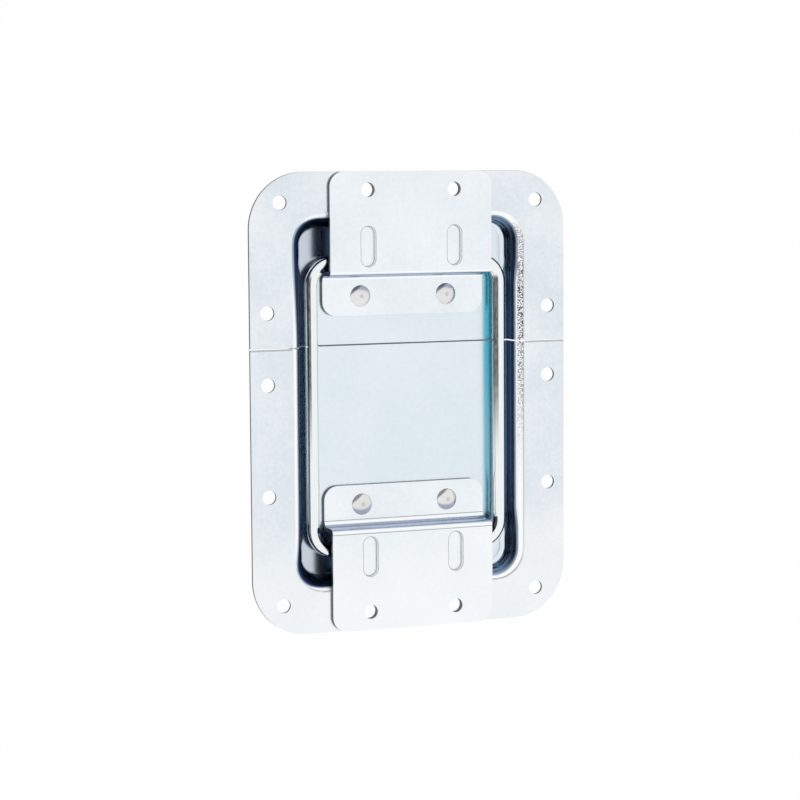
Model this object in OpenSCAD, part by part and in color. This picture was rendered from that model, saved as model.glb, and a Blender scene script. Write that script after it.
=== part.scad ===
// Recessed lid-stay hinge for a transport case.
// Two pressed dish halves meet at a seam. A joggled leaf is riveted into each half,
// and a closed wire loop is trapped behind both leaves, so that its end bars are the hinge pins.
// Frame: origin at the middle of the seam on the back face of the flange,
// +X along the hinge line, +Y towards the lid, +Z out of the case.

/* [Dish] */
// Overall width of the flange
dish_w = 127; // [120:1:150]
// Length of the lid half, from the seam to its end
upper_len = 65; // [60:1:90]
// Length of the body half, from the seam to its end
lower_len = 107; // [90:1:150]
// Thickness of the dish sheet
sheet_t = 1.2; // [0.8:0.1:1.6]
// Depth of the recess, from the flange face to the floor face
dish_depth = 9; // [8:0.5:14]
// Corner radius of the flange
dish_corner_r = 21; // [12:1:24]
// Width of the flange at the ends, from the edge to the start of the lip
flange_end = 15; // [13:0.5:18]
// Corner radius of the recess, at the start of the lip
lip_corner_r = 12; // [9:0.5:16]
// Face radius of the lip bend
lip_bend_r = 3.6; // [2:0.1:4]
// Face radius of the bend at the floor
floor_bend_r = 2.8; // [1:0.1:3]
// Gap between the two halves at the seam
seam_gap = 0.5; // [0.4:0.1:1]

/* [Screw holes] */
// Diameter of the screw holes
screw_d = 5.4; // [3.5:0.1:6.5]
// Distance of the corner holes from the side edge
corner_hole_side = 12; // [9:0.5:16]
// Distance of the corner holes from the end edge
corner_hole_end = 11.2; // [9:0.1:14]
// Distance of the side holes from the side edge
side_hole_edge = 6.8; // [5:0.1:8]
// Distance of the side holes nearest the seam from the seam
side_hole_seam = 13.3; // [8:0.1:20]
// Pitch of the side holes along the body half
side_hole_pitch = 41.6; // [25:0.1:50]

/* [Leaf] */
// Width of each leaf
leaf_w = 65; // [50:1:70]
// Thickness of the leaf plate
leaf_t = 1.8; // [1.2:0.1:2.2]
// Corner radius of the leaf
leaf_corner_r = 5.5; // [2:0.5:7]
// Length of the outer flat, from the end to the first bend
leaf_outer_len = 36.8; // [36:0.1:40]
// Length of the inner flat, from the second bend to the free edge
leaf_inner_len = 13.2; // [11:0.1:15]
// Inside radius of the joggle bend at the outer flat
joggle_outer_r = 0.2; // [0.1:0.1:1]
// Inside radius of the joggle bend at the inner flat
joggle_inner_r = 2; // [1:0.1:3]
// Spacing of the holes, slots and rivets across the leaf
leaf_pitch = 34.7; // [24:0.1:42]
// Distance of the screw holes from the end of the leaf
leaf_hole_end = 6.8; // [5:0.1:9]
// Distance of the slot centres from the end of the leaf
slot_end = 27.8; // [24:0.1:28]
// Width of the slots
slot_w = 5.8; // [4:0.1:7]
// Length of the slots, over their round ends
slot_len = 15; // [10:0.5:16]

/* [Backing strip] */
// Width of the strip behind the slots
strip_w = 54; // [48:1:58]
// Thickness of the strip
strip_t = 1.5; // [0.8:0.1:1.8]
// Corner radius of the strip
strip_corner_r = 3; // [1:0.5:5]
// Gap from the strip to the recess wall and to the joggle
strip_gap = 0.6; // [0.3:0.1:0.9]

/* [Rivets] */
// Diameter of the rivet shank
rivet_d = 4.8; // [3:0.1:5.4]
// Distance of the rivets from the free edge of the leaf
rivet_edge = 7.4; // [6:0.1:8]
// Diameter of the rivet head
rivet_head_d = 8.2; // [7:0.1:9]
// Height of the rivet head
rivet_head_h = 1.5; // [0.8:0.1:2]
// Diameter of the dimple in the rivet head
dimple_d = 2; // [1:0.1:4]
// Depth of the dimple in the rivet head
dimple_h = 0.3; // [0.1:0.1:0.6]
// Diameter of the upset tail behind the floor
rivet_tail_d = 7; // [6:0.1:8]
// Height of the upset tail behind the floor
rivet_tail_h = 1.2; // [0.6:0.1:2]

/* [Wire loop] */
// Diameter of the wire
wire_d = 4.8; // [3.5:0.1:5]
// Bend radius of the wire, at its centre line
loop_bend_r = 8.5; // [6:0.5:10]
// Gap between each side arm and the edge of the leaf
arm_gap = 3.1; // [2:0.1:5]
// Distance from each side arm to the start of the lip
recess_side_gap = 6.6; // [6:0.1:10]
// Running gap between the bars and the backing strips
bar_gap = 0.35; // [0.2:0.05:0.6]
// Play between the upper bar and the joggle that traps it
upper_bar_play = 0.85; // [0.3:0.05:5]
// Play between the lower bar and the joggle that traps it
lower_bar_play = 4.85; // [0.3:0.05:9]

/* [Hidden] */
$fn = 96;

zinc = [0.84, 0.88, 0.91];
bright_zinc = [0.88, 0.91, 0.94];
bright_wire = [0.78, 0.81, 0.84];
rivet_steel = [0.80, 0.82, 0.84];

// Length by which a cutter stands proud of what it cuts
over = 1;
// Length by which the recess wall runs on into the flange and the floor that it joins
lap = 1;

// Heights: the flange back is zero, and every face below follows from the sheet and the depth
flange_z = sheet_t;
floor_z = flange_z - dish_depth;
floor_back_z = floor_z - sheet_t;

// Half widths, from the leaf outwards over the loop arm to the lip
wire_r = wire_d / 2;
arm_x = leaf_w / 2 + arm_gap + wire_r;
lip_x = arm_x + wire_r + recess_side_gap;

// Distances covered by the bends of the recess wall and of the joggle, seen from above
wall_run = lip_bend_r + floor_bend_r;
joggle_run = joggle_outer_r + leaf_t + joggle_inner_r;
leaf_len = leaf_outer_len + joggle_run + leaf_inner_len;

// The bars run against the backing strips, each with its own play to the back of the joggle
bar_z = flange_z - strip_t - bar_gap - wire_r;
joggle_back_end = leaf_outer_len + joggle_outer_r;
upper_bar_y = upper_len - joggle_back_end + upper_bar_play + wire_r;
lower_bar_y = -lower_len + joggle_back_end - lower_bar_play - wire_r;

// Outline of one half: square at the seam, with round corners at its end
module half_outline(half_w, start, end, r) {
    translate([-half_w, start])
        square([2 * half_w, end - r - start]);
    translate([-half_w + r, start])
        square([2 * (half_w - r), end - start]);
    for (side = [0, 1])
        mirror([side, 0])
            translate([half_w - r, end - r])
                circle(r);
}

// Quarter ring in the first quadrant: the section of a sheet bent square
module quarter_ring(outer_r, t) {
    intersection() {
        difference() {
            circle(outer_r);
            circle(outer_r - t);
        }
        square(outer_r);
    }
}

// Section of a sheet that steps down by a depth: a bend, an upright stretch and a bend back.
// It starts at x = 0 with its face at y = 0 and runs towards -x and -y.
module step_section(depth, upper_r, lower_r, t) {
    translate([0, -upper_r])
        rotate([0, 0, 90])
            quarter_ring(upper_r, t);
    translate([-upper_r, lower_r - depth])
        square([t, depth - upper_r - lower_r]);
    translate([-upper_r - lower_r, lower_r - depth])
        rotate([0, 0, -90])
            quarter_ring(lower_r + t, t);
}

// Wall of the recess in section, with x measured from the centre of the corner
module wall_section() {
    translate([lip_corner_r, 0])
        square([lap, sheet_t]);
    translate([lip_corner_r, flange_z])
        step_section(dish_depth, lip_bend_r, floor_bend_r, sheet_t);
    translate([lip_corner_r - wall_run - lap, floor_back_z])
        square([lap, sheet_t]);
}

// Pressed wall around the closed end of one half: two sides, the end and two corners
module wall_band(start, end) {
    corner_x = lip_x - lip_corner_r;
    corner_y = end - lip_corner_r;
    for (side = [0, 1])
        mirror([side, 0, 0])
            translate([corner_x, corner_y, 0]) {
                rotate([90, 0, 0])
                    linear_extrude(corner_y - start)
                        wall_section();
                rotate_extrude(angle = 90)
                    wall_section();
            }
    translate([-corner_x, corner_y, 0])
        rotate([90, 0, 90])
            linear_extrude(2 * corner_x)
                wall_section();
}

// Round hole through the flange, or through the leaf and the flange
module screw_hole(x, y) {
    translate([x, y, -over])
        cylinder(d = screw_d, h = sheet_t + leaf_t + 2 * over);
}

// One pressed half, from the seam to its end, with a list of side hole distances from the seam
module half_dish(len, side_holes) {
    start = seam_gap / 2;
    lip_end = len - flange_end;
    floor_r = lip_corner_r - wall_run;
    difference() {
        union() {
            linear_extrude(sheet_t)
                difference() {
                    half_outline(dish_w / 2, start, len, dish_corner_r);
                    half_outline(lip_x, start - over, lip_end, lip_corner_r);
                }
            wall_band(start, lip_end);
            translate([0, 0, floor_back_z])
                linear_extrude(sheet_t)
                    half_outline(lip_x - wall_run, start, lip_end - wall_run, floor_r);
        }
        for (side = [-1, 1]) {
            for (y = side_holes)
                screw_hole(side * (dish_w / 2 - side_hole_edge), y);
            screw_hole(side * (dish_w / 2 - corner_hole_side), len - corner_hole_end);
            screw_hole(side * leaf_pitch / 2, len - leaf_hole_end);
            translate([side * leaf_pitch / 2, len - leaf_len + rivet_edge, floor_back_z - over])
                cylinder(d = rivet_d, h = sheet_t + 2 * over);
        }
    }
}

// Slot through the outer flat of a leaf, along Y
module leaf_slot(x, y) {
    translate([x, y, 0])
        linear_extrude(sheet_t + leaf_t + over) {
            square([slot_w, slot_len - slot_w], center = true);
            for (end = [-1, 1])
                translate([0, end * (slot_len - slot_w) / 2])
                    circle(d = slot_w);
        }
}

// One joggled leaf on the half of the given length
module joggled_leaf(len) {
    outer_top = flange_z + leaf_t;
    bend_y = len - leaf_outer_len;
    inner_y = len - leaf_len;
    difference() {
        intersection() {
            translate([-leaf_w / 2, 0, 0])
                rotate([90, 0, 90])
                    linear_extrude(leaf_w) {
                        translate([bend_y, flange_z])
                            square([leaf_outer_len, leaf_t]);
                        translate([bend_y, outer_top])
                            step_section(dish_depth, joggle_outer_r + leaf_t, joggle_inner_r, leaf_t);
                        translate([inner_y, floor_z])
                            square([leaf_inner_len, leaf_t]);
                    }
            translate([0, (len + inner_y) / 2, floor_back_z])
                linear_extrude(outer_top - floor_back_z + over)
                    round_plate(leaf_w, leaf_len, leaf_corner_r);
        }
        for (side = [-1, 1]) {
            screw_hole(side * leaf_pitch / 2, len - leaf_hole_end);
            leaf_slot(side * leaf_pitch / 2, len - slot_end);
            translate([side * leaf_pitch / 2, inner_y + rivet_edge, floor_back_z])
                cylinder(d = rivet_d, h = sheet_t + leaf_t + over);
        }
    }
}

// Flat strip on the back of a leaf, between the recess wall and the joggle
module backing_strip(len) {
    wall_end = flange_end + lip_bend_r + strip_gap;
    joggle_end = leaf_outer_len - strip_gap;
    translate([0, len - (wall_end + joggle_end) / 2, flange_z - strip_t])
        linear_extrude(strip_t)
            round_plate(strip_w, joggle_end - wall_end, strip_corner_r);
}

// Rectangle with four round corners, centred
module round_plate(w, l, r) {
    square([w, l - 2 * r], center = true);
    square([w - 2 * r, l], center = true);
    for (x = [-1, 1], y = [-1, 1])
        translate([x * (w / 2 - r), y * (l / 2 - r)])
            circle(r);
}

// Rivet through the floor and the inner flat: low domed head with a dimple, shank and flat tail
module rivet(side, y) {
    head_r = rivet_head_d / 2;
    dome_r = (head_r * head_r + rivet_head_h * rivet_head_h) / (2 * rivet_head_h);
    dimple_r = (dimple_d * dimple_d / 4 + dimple_h * dimple_h) / (2 * dimple_h);
    grip = sheet_t + leaf_t;
    color(rivet_steel)
        translate([side * leaf_pitch / 2, y, floor_back_z])
            rotate_extrude() {
                translate([0, grip])
                    difference() {
                        intersection() {
                            translate([0, rivet_head_h - dome_r])
                                circle(dome_r);
                            square([head_r, rivet_head_h]);
                        }
                        translate([0, rivet_head_h - dimple_h + dimple_r])
                            circle(dimple_r);
                    }
                square([rivet_d / 2, grip]);
                translate([0, -rivet_tail_h])
                    square([rivet_tail_d / 2, rivet_tail_h]);
            }
}

module upper_dish() {
    color(zinc)
        half_dish(upper_len, [side_hole_seam]);
}

module lower_dish() {
    color(zinc)
        mirror([0, 1, 0])
            half_dish(lower_len, [side_hole_seam, side_hole_seam + side_hole_pitch]);
}

module upper_leaf() {
    color(bright_zinc)
        joggled_leaf(upper_len);
}

module lower_leaf() {
    color(bright_zinc)
        mirror([0, 1, 0])
            joggled_leaf(lower_len);
}

module upper_backing_strip() {
    color(zinc)
        backing_strip(upper_len);
}

module lower_backing_strip() {
    color(zinc)
        mirror([0, 1, 0])
            backing_strip(lower_len);
}

// Closed loop of round wire: two bars across, two arms along, and four bends
module wire_loop() {
    bend_x = arm_x - loop_bend_r;
    middle_y = (upper_bar_y + lower_bar_y) / 2;
    bend_y = (upper_bar_y - lower_bar_y) / 2 - loop_bend_r;
    color(bright_wire)
        translate([0, middle_y, bar_z])
            for (turn = [0, 180])
                rotate([0, 0, turn]) {
                    translate([-bend_x, bend_y + loop_bend_r, 0])
                        rotate([0, 90, 0])
                            cylinder(d = wire_d, h = 2 * bend_x);
                    translate([arm_x, bend_y, 0])
                        rotate([90, 0, 0])
                            cylinder(d = wire_d, h = 2 * bend_y);
                    for (side = [0, 1])
                        mirror([side, 0, 0])
                            translate([bend_x, bend_y, 0])
                                rotate_extrude(angle = 90)
                                    translate([loop_bend_r, 0])
                                        circle(d = wire_d);
                }
}

module rivet_upper_left() {
    rivet(-1, upper_len - leaf_len + rivet_edge);
}

module rivet_upper_right() {
    rivet(1, upper_len - leaf_len + rivet_edge);
}

module rivet_lower_left() {
    rivet(-1, -lower_len + leaf_len - rivet_edge);
}

module rivet_lower_right() {
    rivet(1, -lower_len + leaf_len - rivet_edge);
}

upper_dish();
lower_dish();
upper_leaf();
lower_leaf();
upper_backing_strip();
lower_backing_strip();
wire_loop();
rivet_upper_left();
rivet_upper_right();
rivet_lower_left();
rivet_lower_right();
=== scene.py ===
"""Looks of the recessed lid-stay hinge: plated finishes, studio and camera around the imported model."""

import math

import bpy
from mathutils import Matrix, Vector


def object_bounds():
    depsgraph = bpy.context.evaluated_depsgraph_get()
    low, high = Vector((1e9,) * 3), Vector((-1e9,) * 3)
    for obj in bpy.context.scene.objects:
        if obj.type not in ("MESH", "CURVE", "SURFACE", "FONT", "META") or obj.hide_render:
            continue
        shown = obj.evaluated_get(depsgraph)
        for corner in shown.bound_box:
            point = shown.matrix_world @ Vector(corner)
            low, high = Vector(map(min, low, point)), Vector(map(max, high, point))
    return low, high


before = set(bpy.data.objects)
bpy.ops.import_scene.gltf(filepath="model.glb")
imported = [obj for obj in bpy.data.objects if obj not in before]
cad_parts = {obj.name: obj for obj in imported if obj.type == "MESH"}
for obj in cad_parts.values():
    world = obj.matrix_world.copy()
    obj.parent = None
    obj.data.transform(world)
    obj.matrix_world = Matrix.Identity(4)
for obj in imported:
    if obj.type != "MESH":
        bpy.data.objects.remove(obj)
cad_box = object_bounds()

MM = 0.001

# Camera: its place over the part, its turn about Y, X and its own axis, and its lens
CAMERA_PLACE = Vector((-351.0, 69.5, 870.5)) * MM
CAMERA_YAW = math.radians(21.733)
CAMERA_PITCH = math.radians(5.508)
CAMERA_ROLL = math.radians(0.369)
SENSOR_MM = 36.0
LENS_MM = 112.5
NEAR_CLIP = 0.01
FAR_CLIP = 100.0

# Studio: a pale floor just under the part, its half width in metres, and an even white sky
FLOOR_HALF = 6.0
FLOOR_GAP = 0.05 * MM
FLOOR_GREY = (0.9, 0.9, 0.9)
FLOOR_GLOW = 0.97
SKY = (1.0, 1.0, 1.0)
WHITE_TO = ("Is Camera Ray", "Is Glossy Ray", "Is Transmission Ray")

# Shade on the floor under the seam: spans along X, Y and Z of the upper dish, and how softly each ends
SEAM_GREY = (0.3, 0.34, 0.4)
SEAM_SHADE = ((-43.0 * MM, 41.0 * MM), (-0.9 * MM, 0.25 * MM), (-12.0 * MM, 0.0))
SEAM_FADES = (3.0 * MM, 0.15 * MM, 0.2 * MM)

# Edge rounding by material slot, and the joining of points and flat faces before it
EDGE_ROUND = {"dish_sheet": 0.3 * MM, "leaf_plate": 0.16 * MM, "wire": 0.1 * MM, "rivet": 0.1 * MM}
EDGE_ANGLE = math.radians(40)
EDGE_SEGMENTS = 2
WELD_DISTANCE = 0.002 * MM
FLAT_ANGLE = math.radians(0.3)

# Zinc plate: features per millimetre, shares of the two layers of clouds, and how the roughness varies
NOISE_MIDDLE = (0.3, 0.7)
CLOUDS_PER_MM = 0.035
CLOUDS_SHARE = 0.7
MOTTLE_PER_MM = 0.6
MOTTLE_SHARE = 0.3
LINES_PER_MM = 1.4
ROUGHNESS_SPREAD = 0.15
DULL_ROUGHNESS = 0.45

# Below, a pair that a ramp uses gives 0 at its first value and 1 at its second
# NX and NZ are parts of the normal; ACROSS and ALONG are its direction along X and Y, seen from above
# Left and right are along X, upper and lower along Y

# Several pieces: grey of cut edges, also used for painted shade and painted dark reflection, a painted dark
# shade, and a white for painted highlights and for flats that get paler towards the lower end
CUT_EDGE_AND_SHADE_GREY = (0.09, 0.095, 0.11)
STEEP_NZ = (0.6, 0.4)
SHADE_BLUE = (0.02, 0.04, 0.1)
HIGHLIGHT_AND_PALE_WHITE = (0.96, 0.975, 0.99)
PALE_END = (-52 * MM, -100 * MM)

# Dish: where the recess, its lip, its floor, its right side and its ends are
RECESS_CENTRE = (0.0, -21.0 * MM)
RECESS_HALF = (47.1 * MM, 71.1 * MM)
FRONT_NZ = (-0.4, -0.2)
LIP_FOOT = -3.3 * MM
FLOOR_TOP = -7.5 * MM
FLOOR_NZ = (0.9, 0.99)
RIGHT_SIDE = (0.0, 10 * MM)
RECESS_ENDS = (42 * MM, 52 * MM)
UPPER_RISE = (-2 * MM, 38 * MM)
LOWER_RISE = (-68 * MM, -86 * MM)

# Dish floor: pale cyan, a painted teal reflection in a strip beside the right arm, and a painted grey
# reflection in the left corners
FLOOR_CYAN = (0.74, 0.84, 0.89)
FLOOR_CYAN_SHARE = 0.6
STRIP_REFLECTION_TEAL = (0.42, 0.76, 0.84)
STRIP_X = ((33.0 * MM, 34.6 * MM), (41.0 * MM, 39.0 * MM))
STRIP_Y = ((-45.0 * MM, -5.0 * MM), (31.0 * MM, 28.0 * MM))
CORNER_REFLECTION_GREY = (0.36, 0.38, 0.50)
CORNER_SHARE = 0.45
CORNERS_X = ((-48 * MM, -33 * MM),)
CORNERS_Y = ((25 * MM, 50 * MM), (-92 * MM, -70 * MM))

# Dish lip: a painted highlight where it starts to turn down, then a painted steel grey reflection, then a
# painted dark blue reflection
LIP_NZ = (0.9995, 0.985)
LIP_REFLECTION_STEEL = (0.36, 0.44, 0.53)
DARK_REFLECTION_BLUE = (0.016, 0.037, 0.1)
END_REFLECTION_BLUE = (0.28, 0.40, 0.60)
END_LIP_SHARE = 0.15
LIP_DULL = 0.9

# Tilt in radians at which the dark blue starts, and how it differs between the sides and the ends
DARK_TILT = 0.943
DARK_TILT_ACROSS = -0.313
DARK_TILT_END = -0.293
DARK_TILT_RIGHT_END = -0.267
DARK_TILT_UPPER_LEFT = -0.4
DARK_TILT_LOWER_LEFT = -0.38
DARK_FADE = (0.09, -0.09)
LEFT_ACROSS = (0.2, 1.0)

# Width in radians of the steel grey before the dark blue
STEEL_WIDTH = 0.23
STEEL_WIDTH_ACROSS = -0.05
STEEL_WIDTH_END = -0.11
STEEL_FADE = (0.06, -0.06)

# Low on the left lip the dark blue ends
LEFT_BRIGHT_ACROSS = (0.5, 0.9)
LEFT_BRIGHT_NZ = (0.38, 0.2)

# A thin painted dark reflection line along the start of the lip, on the right side and the lower end
LIP_REFLECTION_LINE = (0.20, 0.19, 0.19)
LIP_LINE_ACROSS = -0.4
LIP_LINE_ALONG = 0.75
LIP_LINE_NZ = ((0.9985, 0.993), (0.965, 0.985))

# Dull specks on the right lip, most of all towards the top
SPECK_GREY = (0.05, 0.053, 0.065)
SPECKS_PER_MM = 2.2
SPECKS_CUT = (0.46, 0.54)
SPECKS_ACROSS = (-0.6, -0.95)
SPECKS_NZ = ((0.997, 0.985), (0.66, 0.76))
SPECKS_RISE = (-60 * MM, 15 * MM)
SPECKS_FALL = (18 * MM, 36 * MM)
SPECKS_LOSS = -0.4

# Dish wall under the lip, all but the left side: a painted blue reflection, darker where it is steep
WALL_REFLECTION_BLUE = (0.19, 0.28, 0.38)
WALL_ACROSS = (0.98, 0.85)
WALL_NZ = (0.998, 0.93)
WALL_LIFT_RIGHT = 0.1
WALL_LIFT_RIGHT_END = 0.06
DEEP_NZ = (0.9, 0.6)
DEEP_ALONG = (1.4, 0.3)
END_WALL_SHARE = 0.5
LOWER_LEFT_SHARE = 0.3

# Flange: paler towards the lower end, painted shade in a grey line along the seam, and painted dark
# reflection on rounded edges that face up left
FLANGE_FACE = 1.1 * MM
FLANGE_NZ = (0.98, 0.999)
FLANGE_PALE_SHARE = 0.55
SEAM_LINE = ((-0.8 * MM, -0.2 * MM),)
SEAM_LINE_NZ = (0.5, 0.9)
SEAM_LINE_SHARE = 0.4
UP_LEFT = (0.2, 0.6)
ROUNDED_NZ = (0.99, 0.85)

# Leaf: its bends with a painted highlight and painted blue shade, painted dark reflection lines beside them,
# and painted blue shade on its back
LEAF_PALE_SHARE = 0.5
LEAF_BENDS = ((24.2 * MM, 28.2 * MM), (-70.2 * MM, -66.2 * MM))
SIDEWAYS_NX = 0.7
BEND_NZ = (0.99, 0.95)
JOGGLE_SHADE_BLUE = (0.45, 0.52, 0.66)
JOGGLE_NZ = (0.9, 0.65)
BEND_REFLECTION_GREY = (0.40, 0.40, 0.42)
BEND_REFLECTION_LINES = ((-70.5 * MM, -70.2 * MM), (-66.3 * MM, -66.0 * MM))
BEND_REFLECTION_NZ = (0.9, 0.98)
BACK_SHADE_BLUE = (0.34, 0.50, 0.90)
BACK_NZ = (-0.3, -0.7)

# Leaf: its slots with a painted dark reflection line around each, and the brighter bands on its cut edges
SLOT_REFLECTION_GREY = (0.42, 0.43, 0.45)
SLOT_WALL = (0.93, 0.96, 0.98)
SLOT_NZ = (0.5, 0.9)
SLOT_X = 17.35 * MM
SLOT_ROWS = (37.2 * MM, -79.2 * MM)
SLOT_STRAIGHT = 4.6 * MM
SLOT_RADIUS = 2.9 * MM
SLOT_LINE = 0.32 * MM
SLOTS_Y = ((29.5 * MM, 45.0 * MM), (-87.0 * MM, -71.5 * MM))
SLOTS_HALF_WIDTH = 22 * MM
BRIGHT_EDGE = (0.55, 0.57, 0.60)
BRIGHT_EDGE_Z = ((2.4 * MM, 3.2 * MM), (-6.6 * MM, -5.8 * MM))

# Wire: a streaky painted dark reflection band on the left of both arms, fading out towards the lower end
BAND_REFLECTION_GREY = (0.09, 0.088, 0.085)
BAND_NX = (-0.36, -0.46)
BAND_EDGE_NX = (-0.90, -0.80)
BAND_NZ = (-0.1, 0.15)
BAND_ACROSS = (-0.9, -0.99)
BAND_Y = (-48.0 * MM, -8.0 * MM)
STREAKS_PER_MM = 1.6
STREAKS_STRETCH = (1.0, 4.0, 1.0)
STREAKS_RANGE = (0.8, 1.0)

# Wire: a painted teal reflection low on the left of the right arm, and the painted dark shade low on the
# left of the left arm
ARM_ACROSS = (-0.3, -0.8)
ARM_REFLECTION_TEAL = (0.36, 0.68, 0.78)
ARM_REFLECTION_NZ = (0.1, -0.3)
ARM_SHADE_NZ = (-0.35, -0.6)

# Rivet: a painted shade crescent on the upper left of the head, and a painted shade spot in its middle
CRESCENT_SHADE_GREY = (0.10, 0.095, 0.09)
CRESCENT_TOWARDS = (-0.62, 0.78)
CRESCENT_LEAN = (0.4, 0.5)
CRESCENT_SHARE = 0.75
SPOT_SHADE_GREY = (0.36, 0.35, 0.34)
SPOT_RADIUS = 1.1 * MM
SPOT_NZ = (0.5, 0.8)
SPOT_SHARE = 0.4
RIVET_X = 17.35 * MM
RIVET_ROWS = (18.4 * MM, -60.4 * MM)


def rgba(colour):
    return (*colour, 1.0)


def add(tree, kind, inputs=None, **properties):
    """Adds one shader node, with its properties and the values of its unlinked inputs."""
    node = tree.nodes.new(kind)
    for name, value in properties.items():
        setattr(node, name, value)
    for name, value in (inputs or {}).items():
        node.inputs[name].default_value = value
    return node


def empty_tree(owner):
    owner.use_nodes = True
    owner.node_tree.nodes.clear()
    return owner.node_tree


def noise(tree, place, per_mm, detail, stretch=(1.0, 1.0, 1.0)):
    """Noise with a number of features per millimetre, stretched along the axes by a factor."""
    scale = [per_mm / MM / s for s in stretch]
    mapping = add(tree, "ShaderNodeMapping", {"Scale": scale})
    tree.links.new(place, mapping.inputs["Vector"])
    texture = add(tree, "ShaderNodeTexNoise", {"Scale": 1.0, "Detail": detail})
    tree.links.new(mapping.outputs["Vector"], texture.inputs["Vector"])
    return texture.outputs["Fac"]


def map_range(tree, value, start, end, low, high, interpolation):
    """Maps start..end of a value to low..high, and holds it there outside."""
    ends = {"From Min": start, "From Max": end, "To Min": low, "To Max": high}
    node = add(tree, "ShaderNodeMapRange", ends, interpolation_type=interpolation)
    tree.links.new(value, node.inputs["Value"])
    return node.outputs["Result"]


def spread(tree, value, low, high):
    """Maps the middle of a noise's range to low..high."""
    return map_range(tree, value, *NOISE_MIDDLE, low, high, "LINEAR")


def ramp(tree, value, start, end):
    """Soft step: 0 where the value is at start, 1 where it is at end."""
    if start < end:
        return map_range(tree, value, start, end, 0.0, 1.0, "SMOOTHSTEP")
    return map_range(tree, value, end, start, 1.0, 0.0, "SMOOTHSTEP")


def mix_colour(tree, factor, first, second):
    node = add(tree, "ShaderNodeMix", data_type="RGBA")
    tree.links.new(factor, node.inputs["Factor"])
    for socket, colour in ((node.inputs["A"], first), (node.inputs["B"], second)):
        if isinstance(colour, tuple):
            socket.default_value = rgba(colour)
        else:
            tree.links.new(colour, socket)
    return node.outputs["Result"]


def calc(tree, operation, *values):
    """One Math node on one or two sockets or numbers."""
    node = add(tree, "ShaderNodeMath", operation=operation)
    for socket, value in zip(node.inputs, values):
        if isinstance(value, (int, float)):
            socket.default_value = value
        else:
            tree.links.new(value, socket)
    return node.outputs["Value"]


def fold(tree, operation, values):
    """One Math operation run along a row of sockets or numbers."""
    result, *rest = values
    for value in rest:
        result = calc(tree, operation, result, value)
    return result


def product(tree, *factors):
    return fold(tree, "MULTIPLY", factors)


def largest(tree, *values):
    return fold(tree, "MAXIMUM", values)


def weigh(tree, constant, *terms):
    """A constant plus sockets times their weights."""
    result = constant
    for value, weight in terms:
        result = calc(tree, "ADD", calc(tree, "MULTIPLY", value, weight), result)
    return result


def inverse(tree, factor):
    return calc(tree, "SUBTRACT", 1.0, factor)


def away(tree, value, middle):
    """How far a value is from a middle, on either side."""
    return calc(tree, "ABSOLUTE", calc(tree, "SUBTRACT", value, middle))


def within(tree, value, spans):
    """1 where the value lies in one of the spans."""
    inside = []
    for low, high in spans:
        inside.append(calc(tree, "LESS_THAN", away(tree, value, (low + high) / 2), (high - low) / 2))
    return largest(tree, *inside)


def distance(tree, off_x, off_y):
    return calc(tree, "SQRT", calc(tree, "ADD", product(tree, off_x, off_x), product(tree, off_y, off_y)))


def split(tree, vector):
    node = add(tree, "ShaderNodeSeparateXYZ")
    tree.links.new(vector, node.inputs["Vector"])
    return node.outputs["X"], node.outputs["Y"], node.outputs["Z"]


class Surface:
    """The part's own coordinates and normal at a point of a surface, as sockets of a tree."""

    # A little over 1, so that the level part of an upright normal is never 0
    LENGTH_SQUARED = 1.0001

    def __init__(self, tree):
        coordinates = add(tree, "ShaderNodeTexCoord")
        self.tree = tree
        self.place = coordinates.outputs["Object"]
        self.x, self.y, self.z = split(tree, self.place)
        self.nx, self.ny, self.nz = split(tree, coordinates.outputs["Normal"])
        upright = product(tree, self.nz, self.nz)
        level = calc(tree, "SQRT", calc(tree, "SUBTRACT", self.LENGTH_SQUARED, upright))
        self.across = calc(tree, "DIVIDE", self.nx, level)
        self.along = calc(tree, "DIVIDE", self.ny, level)

    def steep(self, start, end):
        """1 on faces that stand up, from how much the normal points up or down."""
        return ramp(self.tree, calc(self.tree, "ABSOLUTE", self.nz), start, end)

    def facing_centre(self):
        """1 where the face looks towards the middle of the recess, 0 where it looks away from it."""
        t = self.tree
        across = product(t, calc(t, "SUBTRACT", self.x, RECESS_CENTRE[0]), self.nx)
        along = product(t, calc(t, "SUBTRACT", self.y, RECESS_CENTRE[1]), self.ny)
        return calc(t, "LESS_THAN", calc(t, "ADD", across, along), 0.0)


class DishZones:
    """Where a point of a dish lies: a share from 0 to 1 for each zone."""

    def __init__(self, surface):
        t = surface.tree
        off_x = away(t, surface.x, RECESS_CENTRE[0])
        off_y = away(t, surface.y, RECESS_CENTRE[1])
        self.recess = product(
            t,
            calc(t, "LESS_THAN", off_x, RECESS_HALF[0]),
            calc(t, "LESS_THAN", off_y, RECESS_HALF[1]),
        )
        self.front = ramp(t, surface.nz, *FRONT_NZ)
        drawn = product(t, self.recess, surface.facing_centre(), self.front)
        high = calc(t, "GREATER_THAN", surface.z, LIP_FOOT)
        deep = calc(t, "LESS_THAN", surface.z, FLOOR_TOP)
        self.lip = product(t, drawn, high)
        self.wall = product(t, drawn, inverse(t, high), ramp(t, surface.across, *WALL_ACROSS))
        self.floor = product(t, self.recess, deep, ramp(t, surface.nz, *FLOOR_NZ))
        self.right = ramp(t, surface.x, *RIGHT_SIDE)
        self.right_end = product(t, self.right, ramp(t, off_y, *RECESS_ENDS))
        self.end_wall = product(t, surface.along, surface.along)
        self.upper = ramp(t, surface.y, *UPPER_RISE)
        self.lower = ramp(t, surface.y, *LOWER_RISE)


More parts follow.
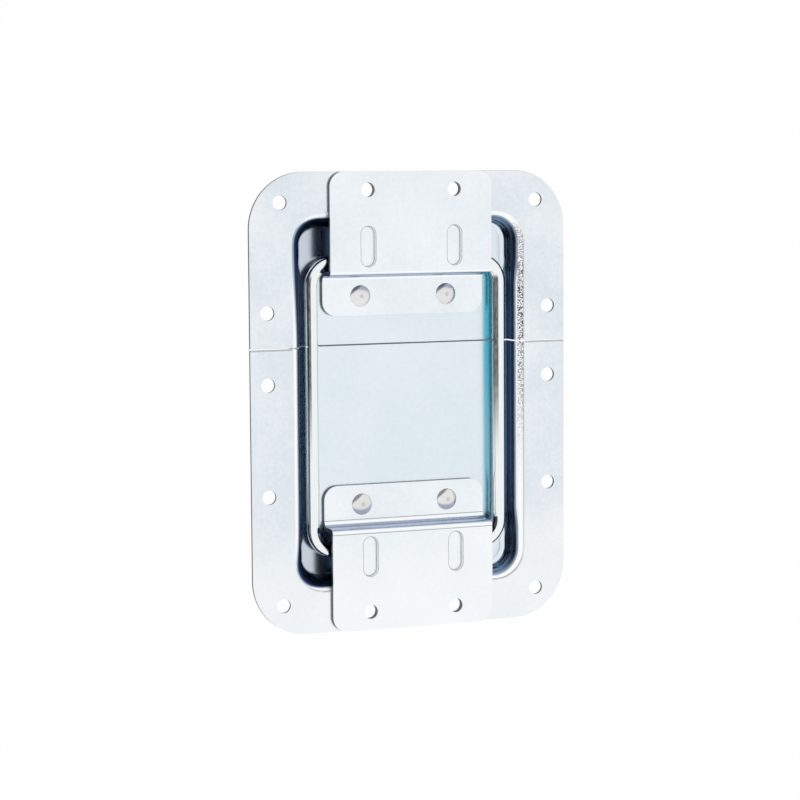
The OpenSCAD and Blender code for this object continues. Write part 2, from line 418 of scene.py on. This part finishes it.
def paint_floor(surface, zones, colour):
    t = surface.tree
    colour = mix_colour(t, product(t, zones.floor, FLOOR_CYAN_SHARE), colour, FLOOR_CYAN)
    # Painted teal reflection in a strip beside the right arm
    strip = [ramp(t, surface.x, *ends) for ends in STRIP_X]
    strip += [ramp(t, surface.y, *ends) for ends in STRIP_Y]
    colour = mix_colour(t, product(t, zones.floor, *strip), colour, STRIP_REFLECTION_TEAL)
    # Painted grey reflection on the floor in the left corners
    corner = product(t, within(t, surface.x, CORNERS_X), within(t, surface.y, CORNERS_Y))
    return mix_colour(t, product(t, zones.floor, corner, CORNER_SHARE), colour, CORNER_REFLECTION_GREY)


def paint_lip(surface, zones, colour):
    """Painted highlight, then steel grey and dark blue painted reflection in turn down the lip, with a thin
    painted dark reflection line and specks on it.
    """
    t = surface.tree
    # Painted highlight where the lip starts to turn down
    colour = mix_colour(t, product(t, zones.lip, ramp(t, surface.nz, *LIP_NZ)), colour, HIGHLIGHT_AND_PALE_WHITE)
    left_side = ramp(t, surface.across, *LEFT_ACROSS)
    start = weigh(
        t,
        DARK_TILT,
        (surface.across, DARK_TILT_ACROSS),
        (zones.end_wall, DARK_TILT_END),
        (product(t, zones.right_end, inverse(t, zones.end_wall)), DARK_TILT_RIGHT_END),
        (product(t, left_side, zones.upper), DARK_TILT_UPPER_LEFT),
        (product(t, left_side, zones.lower), DARK_TILT_LOWER_LEFT),
    )
    before = calc(t, "SUBTRACT", start, calc(t, "ARCCOSINE", surface.nz))
    width = weigh(t, STEEL_WIDTH, (surface.across, STEEL_WIDTH_ACROSS), (zones.end_wall, STEEL_WIDTH_END))
    steel = ramp(t, calc(t, "SUBTRACT", before, width), *STEEL_FADE)
    # Painted steel grey reflection on the lip
    colour = mix_colour(t, product(t, zones.lip, steel), colour, LIP_REFLECTION_STEEL)

    # Painted dark blue reflection down the lip, lighter blue towards the right end
    end_share = weigh(t, END_LIP_SHARE, (zones.end_wall, 1.0 - END_LIP_SHARE))
    blue = mix_colour(t, product(t, zones.right_end, end_share), DARK_REFLECTION_BLUE, END_REFLECTION_BLUE)
    bright = product(
        t,
        ramp(t, surface.across, *LEFT_BRIGHT_ACROSS),
        ramp(t, surface.nz, *LEFT_BRIGHT_NZ),
    )
    dark = product(t, zones.lip, ramp(t, before, *DARK_FADE), inverse(t, bright))
    colour = mix_colour(t, dark, colour, blue)

    # Painted dark reflection line along the start of the lip
    line = weigh(t, 0.0, (surface.across, LIP_LINE_ACROSS), (surface.along, LIP_LINE_ALONG))
    line_span = [ramp(t, surface.nz, *ends) for ends in LIP_LINE_NZ]
    colour = mix_colour(t, product(t, zones.lip, largest(t, line, 0.0), *line_span), colour, LIP_REFLECTION_LINE)

    specks = ramp(t, noise(t, surface.place, SPECKS_PER_MM, detail=0.0), *SPECKS_CUT)
    rise = ramp(t, surface.y, *SPECKS_RISE)
    fall = weigh(t, 1.0, (ramp(t, surface.y, *SPECKS_FALL), SPECKS_LOSS))
    speck_span = [ramp(t, surface.nz, *ends) for ends in SPECKS_NZ]
    right_lip = product(t, zones.lip, ramp(t, surface.across, *SPECKS_ACROSS))
    return mix_colour(t, product(t, right_lip, rise, fall, specks, *speck_span), colour, SPECK_GREY)


def paint_wall(surface, zones, colour):
    t = surface.tree
    # Painted blue reflection on the wall, with the darker painted blue reflection where it is steep
    end_share = weigh(t, END_WALL_SHARE, (zones.end_wall, 1.0 - END_WALL_SHARE))
    lower_left = product(t, inverse(t, zones.right), zones.lower)
    right_share = product(t, zones.right_end, end_share)
    blue_share = weigh(t, 0.0, (right_share, 1.0), (lower_left, LOWER_LEFT_SHARE))
    blue = mix_colour(t, blue_share, DARK_REFLECTION_BLUE, END_REFLECTION_BLUE)
    lean = weigh(
        t,
        0.0,
        (surface.nz, 1.0),
        (zones.right, WALL_LIFT_RIGHT),
        (zones.right_end, WALL_LIFT_RIGHT_END),
    )
    colour = mix_colour(t, product(t, zones.wall, ramp(t, lean, *WALL_NZ)), colour, WALL_REFLECTION_BLUE)
    deep = product(t, ramp(t, surface.along, *DEEP_ALONG), ramp(t, lean, *DEEP_NZ))
    return mix_colour(t, product(t, zones.wall, deep), colour, blue)


def dish_paint(surface, colour):
    """Paints floor, lip, wall and flange with painted reflections, highlights and shade, and gives how dull
    the surface is on the lip and cut edges.
    """
    t = surface.tree
    zones = DishZones(surface)
    colour = paint_floor(surface, zones, colour)
    colour = paint_lip(surface, zones, colour)
    colour = paint_wall(surface, zones, colour)

    outside = inverse(t, zones.recess)
    high = calc(t, "GREATER_THAN", surface.z, FLANGE_FACE)
    flat = product(t, high, ramp(t, surface.nz, *FLANGE_NZ))
    pale = product(t, flat, ramp(t, surface.y, *PALE_END), FLANGE_PALE_SHARE)
    colour = mix_colour(t, pale, colour, HIGHLIGHT_AND_PALE_WHITE)
    # Painted shade in a grey line along the seam
    seam = product(t, outside, within(t, surface.y, SEAM_LINE), ramp(t, surface.nz, *SEAM_LINE_NZ))
    colour = mix_colour(t, product(t, seam, SEAM_LINE_SHARE), colour, CUT_EDGE_AND_SHADE_GREY)
    # Painted dark reflection on rounded edges that face up and left, joined with the grey cut edges
    up_left = ramp(t, calc(t, "SUBTRACT", surface.along, surface.across), *UP_LEFT)
    rounded = product(t, outside, up_left, zones.front, ramp(t, surface.nz, *ROUNDED_NZ))
    cut = largest(t, product(t, surface.steep(*STEEP_NZ), outside), rounded)
    return mix_colour(t, cut, colour, CUT_EDGE_AND_SHADE_GREY), largest(t, cut, product(t, zones.lip, LIP_DULL))


def slot_outline(surface):
    """1 on a line around each slot, from the distance to a straight stretch with round ends."""
    t = surface.tree
    off_x = calc(t, "SUBTRACT", calc(t, "ABSOLUTE", surface.x), SLOT_X)
    lines = []
    for row in SLOT_ROWS:
        past_straight = calc(t, "SUBTRACT", away(t, surface.y, row), SLOT_STRAIGHT)
        reach = distance(t, off_x, largest(t, past_straight, 0.0))
        lines.append(ramp(t, away(t, reach, SLOT_RADIUS), SLOT_LINE, SLOT_LINE / 2))
    return product(t, largest(t, *lines), ramp(t, surface.nz, *SLOT_NZ))


def leaf_paint(surface, colour):
    """Grey on the cut edges, brighter in the slots, painted blue shade on the joggle and the back, a painted
    highlight on the bends, and painted dark reflection lines beside the bends and around the slots.
    """
    t = surface.tree
    bend = within(t, surface.y, LEAF_BENDS)
    bent = product(t, bend, calc(t, "LESS_THAN", calc(t, "ABSOLUTE", surface.nx), SIDEWAYS_NX))
    pale = product(t, ramp(t, surface.y, *PALE_END), LEAF_PALE_SHARE)
    colour = mix_colour(t, pale, colour, HIGHLIGHT_AND_PALE_WHITE)
    # Painted highlight on the bends, then painted blue shade where they are steep
    colour = mix_colour(t, product(t, bent, surface.steep(*BEND_NZ)), colour, HIGHLIGHT_AND_PALE_WHITE)
    colour = mix_colour(t, product(t, bent, surface.steep(*JOGGLE_NZ)), colour, JOGGLE_SHADE_BLUE)
    # Painted dark reflection lines beside the lower bend
    bend_lines = product(t, within(t, surface.y, BEND_REFLECTION_LINES), ramp(t, surface.nz, *BEND_REFLECTION_NZ))
    colour = mix_colour(t, bend_lines, colour, BEND_REFLECTION_GREY)
    # Painted dark reflection line around each slot
    colour = mix_colour(t, slot_outline(surface), colour, SLOT_REFLECTION_GREY)
    # Painted blue shade on the back
    colour = mix_colour(t, ramp(t, surface.nz, *BACK_NZ), colour, BACK_SHADE_BLUE)

    cut = product(t, surface.steep(*STEEP_NZ), inverse(t, bent))
    middle = calc(t, "LESS_THAN", calc(t, "ABSOLUTE", surface.x), SLOTS_HALF_WIDTH)
    slotted = product(t, within(t, surface.y, SLOTS_Y), middle)
    edge = mix_colour(t, within(t, surface.z, BRIGHT_EDGE_Z), CUT_EDGE_AND_SHADE_GREY, BRIGHT_EDGE)
    edge = mix_colour(t, slotted, edge, SLOT_WALL)
    # Painted dark shade on the cut faces at the bends that look left
    left_end = product(t, bend, calc(t, "LESS_THAN", surface.nx, -SIDEWAYS_NX))
    edge = mix_colour(t, left_end, edge, SHADE_BLUE)
    return mix_colour(t, cut, colour, edge), cut


def wire_paint(surface, colour):
    """A painted dark reflection band along both arms, and low on their left a painted teal reflection on the
    right arm and painted dark shade on the left arm.
    """
    t = surface.tree
    # Painted dark reflection band, streaky, along both arms
    streak_noise = noise(t, surface.place, STREAKS_PER_MM, detail=3.0, stretch=STREAKS_STRETCH)
    streaks = spread(t, streak_noise, *STREAKS_RANGE)
    right = calc(t, "GREATER_THAN", surface.x, 0.0)
    inside_edge = largest(t, right, ramp(t, surface.nx, *BAND_EDGE_NX))
    band = product(t, inside_edge, ramp(t, surface.nx, *BAND_NX), ramp(t, surface.nz, *BAND_NZ), streaks)
    band = product(t, band, ramp(t, surface.across, *BAND_ACROSS), ramp(t, surface.y, *BAND_Y))
    colour = mix_colour(t, band, colour, BAND_REFLECTION_GREY)
    # Painted teal reflection low on the right arm, painted dark shade low on the left arm
    left_face = ramp(t, surface.across, *ARM_ACROSS)
    right_low = product(t, left_face, right, ramp(t, surface.nz, *ARM_REFLECTION_NZ))
    left_low = product(t, left_face, inverse(t, right), ramp(t, surface.nz, *ARM_SHADE_NZ))
    colour = mix_colour(t, right_low, colour, ARM_REFLECTION_TEAL)
    return mix_colour(t, left_low, colour, SHADE_BLUE), None


def rivet_paint(surface, colour):
    """A painted shade crescent on one side of the head, and a painted shade spot in its middle."""
    t = surface.tree
    # Painted shade crescent on the upper left of the head
    towards_x, towards_y = CRESCENT_TOWARDS
    lean = weigh(t, 0.0, (surface.nx, towards_x), (surface.ny, towards_y))
    crescent = product(t, ramp(t, lean, *CRESCENT_LEAN), CRESCENT_SHARE)
    colour = mix_colour(t, crescent, colour, CRESCENT_SHADE_GREY)
    # Painted shade spot in the middle of the head
    off_x = calc(t, "SUBTRACT", calc(t, "ABSOLUTE", surface.x), RIVET_X)
    reaches = [distance(t, off_x, calc(t, "SUBTRACT", surface.y, row)) for row in RIVET_ROWS]
    near = ramp(t, fold(t, "MINIMUM", reaches), SPOT_RADIUS, SPOT_RADIUS / 2)
    spot = product(t, near, ramp(t, surface.nz, *SPOT_NZ), SPOT_SHARE)
    return mix_colour(t, spot, colour, SPOT_SHADE_GREY), None


def plated(name, cool, warm, roughness, grain_mm, grain_height, line_stretch, paint):
    """Zinc plate: two tints in soft clouds, a fine grain, and faint lines along one direction."""
    material = bpy.data.materials.new(name)
    tree = empty_tree(material)
    surface = Surface(tree)
    clouds = spread(tree, noise(tree, surface.place, CLOUDS_PER_MM, detail=3.0), 0.0, CLOUDS_SHARE)
    mottle = spread(tree, noise(tree, surface.place, MOTTLE_PER_MM, detail=3.0), 0.0, MOTTLE_SHARE)
    lines = noise(tree, surface.place, LINES_PER_MM, detail=2.0, stretch=line_stretch)
    grain = noise(tree, surface.place, 1.0 / grain_mm, detail=3.0)

    colour = mix_colour(tree, calc(tree, "ADD", clouds, mottle), cool, warm)
    colour, dull = paint(surface, colour)
    shader = add(tree, "ShaderNodeBsdfPrincipled", {"Metallic": 1.0})
    tree.links.new(colour, shader.inputs["Base Color"])
    smoothest = roughness * (1.0 - ROUGHNESS_SPREAD)
    roughest = roughness * (1.0 + ROUGHNESS_SPREAD)
    rough = spread(tree, lines, smoothest, roughest)
    if dull is not None:
        rough = largest(tree, rough, product(tree, dull, DULL_ROUGHNESS))
    tree.links.new(rough, shader.inputs["Roughness"])

    bump = add(tree, "ShaderNodeBump", {"Strength": 1.0, "Distance": grain_height})
    tree.links.new(calc(tree, "ADD", lines, grain), bump.inputs["Height"])
    tree.links.new(bump.outputs["Normal"], shader.inputs["Normal"])
    output = add(tree, "ShaderNodeOutputMaterial")
    tree.links.new(shader.outputs["BSDF"], output.inputs["Surface"])
    return material


FINISHES = {
    "dish_sheet": plated(
        "zinc_dish",
        cool=(0.68, 0.75, 0.80),
        warm=(0.86, 0.89, 0.92),
        roughness=0.2,
        grain_mm=0.9,
        grain_height=0.0012 * MM,
        line_stretch=(1, 1, 1),
        paint=dish_paint,
    ),
    "leaf_plate": plated(
        "zinc_leaf",
        cool=(0.78, 0.83, 0.86),
        warm=(0.90, 0.94, 0.97),
        roughness=0.2,
        grain_mm=0.7,
        grain_height=0.001 * MM,
        line_stretch=(1, 12, 12),
        paint=leaf_paint,
    ),
    "wire": plated(
        "zinc_wire",
        cool=(0.84, 0.87, 0.88),
        warm=(0.88, 0.90, 0.90),
        roughness=0.1,
        grain_mm=0.8,
        grain_height=0.0008 * MM,
        line_stretch=(1, 12, 1),
        paint=wire_paint,
    ),
    "rivet": plated(
        "zinc_rivet",
        cool=(0.74, 0.735, 0.73),
        warm=(0.82, 0.81, 0.80),
        roughness=0.26,
        grain_mm=0.35,
        grain_height=0.003 * MM,
        line_stretch=(1, 1, 1),
        paint=rivet_paint,
    ),
}


def dress(node):
    """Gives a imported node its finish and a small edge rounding."""
    slot = node.data.materials[0].name
    node.data.materials[0] = FINISHES[slot]
    weld = node.modifiers.new("weld", "WELD")
    weld.merge_threshold = WELD_DISTANCE
    flats = node.modifiers.new("flats", "DECIMATE")
    flats.decimate_type = "DISSOLVE"
    flats.angle_limit = FLAT_ANGLE
    edges = node.modifiers.new("edges", "BEVEL")
    edges.width = EDGE_ROUND[slot]
    edges.segments = EDGE_SEGMENTS
    edges.limit_method = "ANGLE"
    edges.angle_limit = EDGE_ANGLE
    normals = node.modifiers.new("normals", "WEIGHTED_NORMAL")
    normals.keep_sharp = True


def seam_shade(tree):
    """1 on the floor under the seam, as long as the upper dish is in place above it."""
    seam = add(tree, "ShaderNodeTexCoord", object=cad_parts["upper_dish"])
    sides = []
    for value, (low, high), fade in zip(split(tree, seam.outputs["Object"]), SEAM_SHADE, SEAM_FADES):
        sides.append(ramp(tree, value, low - fade, low))
        sides.append(ramp(tree, value, high + fade, high))
    return product(tree, *sides)


def floor_material():
    """Pale floor, white to what looks at it directly or in a reflection, that still takes a shadow."""
    material = bpy.data.materials.new("studio_floor")
    tree = empty_tree(material)
    rays = add(tree, "ShaderNodeLightPath")
    seen = largest(tree, *(rays.outputs[kind] for kind in WHITE_TO))
    shade = seam_shade(tree)
    share = product(tree, seen, inverse(tree, shade), FLOOR_GLOW)
    matt = add(tree, "ShaderNodeBsdfDiffuse")
    tree.links.new(mix_colour(tree, shade, FLOOR_GREY, SEAM_GREY), matt.inputs["Color"])
    glow = add(tree, "ShaderNodeEmission", {"Color": rgba(SKY), "Strength": 1.0})
    blend = add(tree, "ShaderNodeMixShader")
    tree.links.new(share, blend.inputs["Fac"])
    tree.links.new(matt.outputs["BSDF"], blend.inputs[1])
    tree.links.new(glow.outputs["Emission"], blend.inputs[2])
    output = add(tree, "ShaderNodeOutputMaterial")
    tree.links.new(blend.outputs["Shader"], output.inputs["Surface"])
    return material


def floor():
    z = cad_box[0].z - FLOOR_GAP
    h = FLOOR_HALF
    mesh = bpy.data.meshes.new("floor")
    mesh.from_pydata([(-h, -h, z), (h, -h, z), (h, h, z), (-h, h, z)], [], [(0, 1, 2, 3)])
    mesh.materials.append(floor_material())
    obj = bpy.data.objects.new("floor", mesh)
    bpy.context.scene.collection.objects.link(obj)


def sky():
    world = bpy.data.worlds.new("sky")
    bpy.context.scene.world = world
    tree = empty_tree(world)
    light = add(tree, "ShaderNodeBackground", {"Color": rgba(SKY), "Strength": 1.0})
    output = add(tree, "ShaderNodeOutputWorld")
    tree.links.new(light.outputs["Background"], output.inputs["Surface"])


def camera():
    data = bpy.data.cameras.new("camera")
    data.sensor_width = SENSOR_MM
    data.lens = LENS_MM
    data.clip_start, data.clip_end = NEAR_CLIP, FAR_CLIP
    obj = bpy.data.objects.new("camera", data)
    bpy.context.scene.collection.objects.link(obj)
    turn = (
        Matrix.Rotation(-CAMERA_YAW, 4, "Y")
        @ Matrix.Rotation(-CAMERA_PITCH, 4, "X")
        @ Matrix.Rotation(-CAMERA_ROLL, 4, "Z")
    )
    obj.matrix_world = Matrix.Translation(CAMERA_PLACE) @ turn
    bpy.context.scene.camera = obj


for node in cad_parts.values():
    dress(node)
floor()
sky()
camera()
bpy.context.scene.view_settings.view_transform = "Standard"
